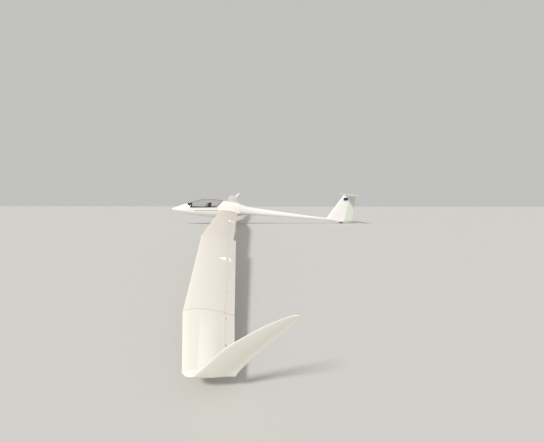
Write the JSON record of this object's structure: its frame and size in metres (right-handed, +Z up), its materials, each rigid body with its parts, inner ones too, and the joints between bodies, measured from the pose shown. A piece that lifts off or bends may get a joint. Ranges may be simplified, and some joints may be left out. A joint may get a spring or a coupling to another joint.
{
  "type": "two-seat sailplane glider",
  "caption": "Long-winged two-seat sailplane with T-tail, winglets, flaps, a hinged canopy and a retractable-engine bay, parked with its left wing tip down.",
  "frame": {"origin": "middle of the parked aircraft's bounding box, on the ground", "axes": "+X towards the nose, +Y towards the left wing tip, +Z up; the airframe is banked 4.83 degrees about X onto its left tip wheel"},
  "size_m": [9.7116, 30.8986, 2.2208],
  "materials": {
    "gelcoat": "white gelcoat, polished",
    "cockpit_inside": "grey textured paint",
    "canopy_glass": "clear acrylic",
    "canopy_frame": "dark grey paint",
    "tyre": "matt rubber",
    "tip_wheel": "matt rubber",
    "rim": "cast, satin",
    "gear_paint": "light grey paint",
    "engine_metal": "cast",
    "upholstery": "woven",
    "panel": "dark textured"
  },
  "bodies": {
    "airframe": {"fuselage_pod": "gelcoat", "fuselage_centre": "gelcoat", "wing_root_left": "gelcoat", "wing_root_right": "gelcoat", "tail_boom": "gelcoat", "fin": "gelcoat", "tailplane": "gelcoat", "wing_inner_left": "gelcoat", "wing_middle_left": "gelcoat", "wing_outer_left": "gelcoat", "wing_tip_left": "gelcoat", "wing_inner_right": "gelcoat", "wing_middle_right": "gelcoat", "wing_outer_right": "gelcoat", "wing_tip_right": "gelcoat", "main_gear_leg": "gear_paint", "gear_door_left": "gelcoat", "gear_door_right": "gelcoat", "seat_front": "cockpit_inside", "seat_rear": "cockpit_inside", "cushion_front": "upholstery", "cushion_rear": "upholstery", "headrest_front": "upholstery", "headrest_rear": "upholstery", "instrument_panel_front": "panel", "instrument_panel_rear": "panel", "stick_front": "panel", "stick_rear": "panel", "engine": "engine_metal"},
    "canopy": {"canopy_frame": "canopy_frame", "canopy_glass": "canopy_glass"},
    "flap_inner_left": {"flap_inner_left": "gelcoat"},
    "flap_middle_left": {"flap_middle_left": "gelcoat"},
    "aileron_outer_left": {"aileron_outer_left": "gelcoat"},
    "aileron_tip_left": {"aileron_tip_left": "gelcoat"},
    "flap_inner_right": {"flap_inner_right": "gelcoat"},
    "flap_middle_right": {"flap_middle_right": "gelcoat"},
    "aileron_outer_right": {"aileron_outer_right": "gelcoat"},
    "aileron_tip_right": {"aileron_tip_right": "gelcoat"},
    "rudder": {"rudder": "gelcoat"},
    "elevator": {"elevator": "gelcoat"},
    "engine_door_left": {"engine_door_left": "gelcoat"},
    "engine_door_right": {"engine_door_right": "gelcoat"},
    "main_wheel": {"main_tyre": "tyre", "main_rim": "rim"},
    "tail_wheel": {"tail_tyre": "tyre", "tail_rim": "rim"},
    "tip_wheel_left": {"tip_wheel_left": "tip_wheel"},
    "tip_wheel_right": {"tip_wheel_right": "tip_wheel"}
  },
  "joints": [
    {"name": "canopy_hinge", "type": "hinge", "parent": "airframe", "child": "canopy", "pos_m": [3.06085, -0.37814, 0.88997], "axis": [1, 0, 0], "range_deg": [0, 85]},
    {"name": "flap_inner_left_hinge", "type": "hinge", "parent": "airframe", "child": "flap_inner_left", "pos_m": [1.60744, 4.96924, 0.70447], "axis": [-0.0012, -0.9997, -0.0232], "range_deg": [-15, 30]},
    {"name": "flap_middle_left_hinge", "type": "hinge", "parent": "airframe", "child": "flap_middle_left", "pos_m": [1.66882, 11.31051, 0.38154], "axis": [-0.0097, -0.9987, 0.0509], "range_deg": [-20, 15]},
    {"name": "aileron_outer_left_hinge", "type": "hinge", "parent": "airframe", "child": "aileron_outer_left", "pos_m": [1.59273, 14.42211, 0.15449], "axis": [0.012, -0.9973, 0.0726], "range_deg": [-25, 15]},
    {"name": "aileron_tip_left_hinge", "type": "hinge", "parent": "airframe", "child": "aileron_tip_left", "pos_m": [1.56978, 15.0694, 0.10373], "axis": [0.0353, -0.9963, 0.0781], "range_deg": [-25, 15]},
    {"name": "flap_inner_right_hinge", "type": "hinge", "parent": "airframe", "child": "flap_inner_right", "pos_m": [1.60179, -0.47761, 0.67478], "axis": [0.0012, -0.9919, 0.1269], "range_deg": [-15, 30]},
    {"name": "flap_middle_right_hinge", "type": "hinge", "parent": "airframe", "child": "flap_middle_right", "pos_m": [1.60744, -4.99125, 1.25209], "axis": [0.0097, -0.9967, 0.081], "range_deg": [-20, 15]},
    {"name": "aileron_outer_right_hinge", "type": "hinge", "parent": "airframe", "child": "aileron_outer_right", "pos_m": [1.63013, -11.31987, 1.76586], "axis": [-0.012, -0.9997, 0.0191], "range_deg": [-25, 15]},
    {"name": "aileron_tip_right_hinge", "type": "hinge", "parent": "airframe", "child": "aileron_tip_right", "pos_m": [1.59273, -14.43882, 1.82541], "axis": [-0.0353, -0.9988, -0.0336], "range_deg": [-25, 15]},
    {"name": "rudder_hinge", "type": "hinge", "parent": "airframe", "child": "rudder", "pos_m": [-4.33115, -0.072, 0.1305], "axis": [-0.1383, 0.0834, 0.9869], "range_deg": [-30, 30]},
    {"name": "elevator_hinge", "type": "hinge", "parent": "airframe", "child": "elevator", "pos_m": [-4.58415, 0.04731, 1.54247], "axis": [0, -0.9964, 0.0842], "range_deg": [-20, 20]},
    {"name": "engine_door_left_hinge", "type": "hinge", "parent": "airframe", "child": "engine_door_left", "pos_m": [1.92085, 0.16555, 1.1722], "axis": [-0.9654, -0.022, -0.26], "range_deg": [0, 85]},
    {"name": "engine_door_right_hinge", "type": "hinge", "parent": "airframe", "child": "engine_door_right", "pos_m": [1.92085, -0.13139, 1.19729], "axis": [0.9654, 0.022, 0.26], "range_deg": [0, 85]},
    {"name": "main_wheel_axle", "type": "hinge", "parent": "airframe", "child": "main_wheel", "pos_m": [2.21585, -0.06701, 0.18956], "axis": [0, -0.9964, 0.0842], "continuous": true},
    {"name": "tail_wheel_axle", "type": "hinge", "parent": "airframe", "child": "tail_wheel", "pos_m": [-4.12915, -0.0746, 0.0997], "axis": [0, -0.9964, 0.0842], "continuous": true},
    {"name": "tip_wheel_left_axle", "type": "hinge", "parent": "airframe", "child": "tip_wheel_left", "pos_m": [1.68585, 14.96383, 0.03388], "axis": [0, -0.9964, 0.0842], "continuous": true},
    {"name": "tip_wheel_right_axle", "type": "hinge", "parent": "airframe", "child": "tip_wheel_right", "pos_m": [1.68585, -14.9955, 1.72935], "axis": [0, -0.9964, 0.0842], "continuous": true}
  ],
  "couplings": [
    {"joint": "aileron_tip_left_hinge", "follows": "aileron_outer_left_hinge", "ratio": 1},
    {"joint": "aileron_tip_right_hinge", "follows": "aileron_outer_right_hinge", "ratio": 1}
  ]
}
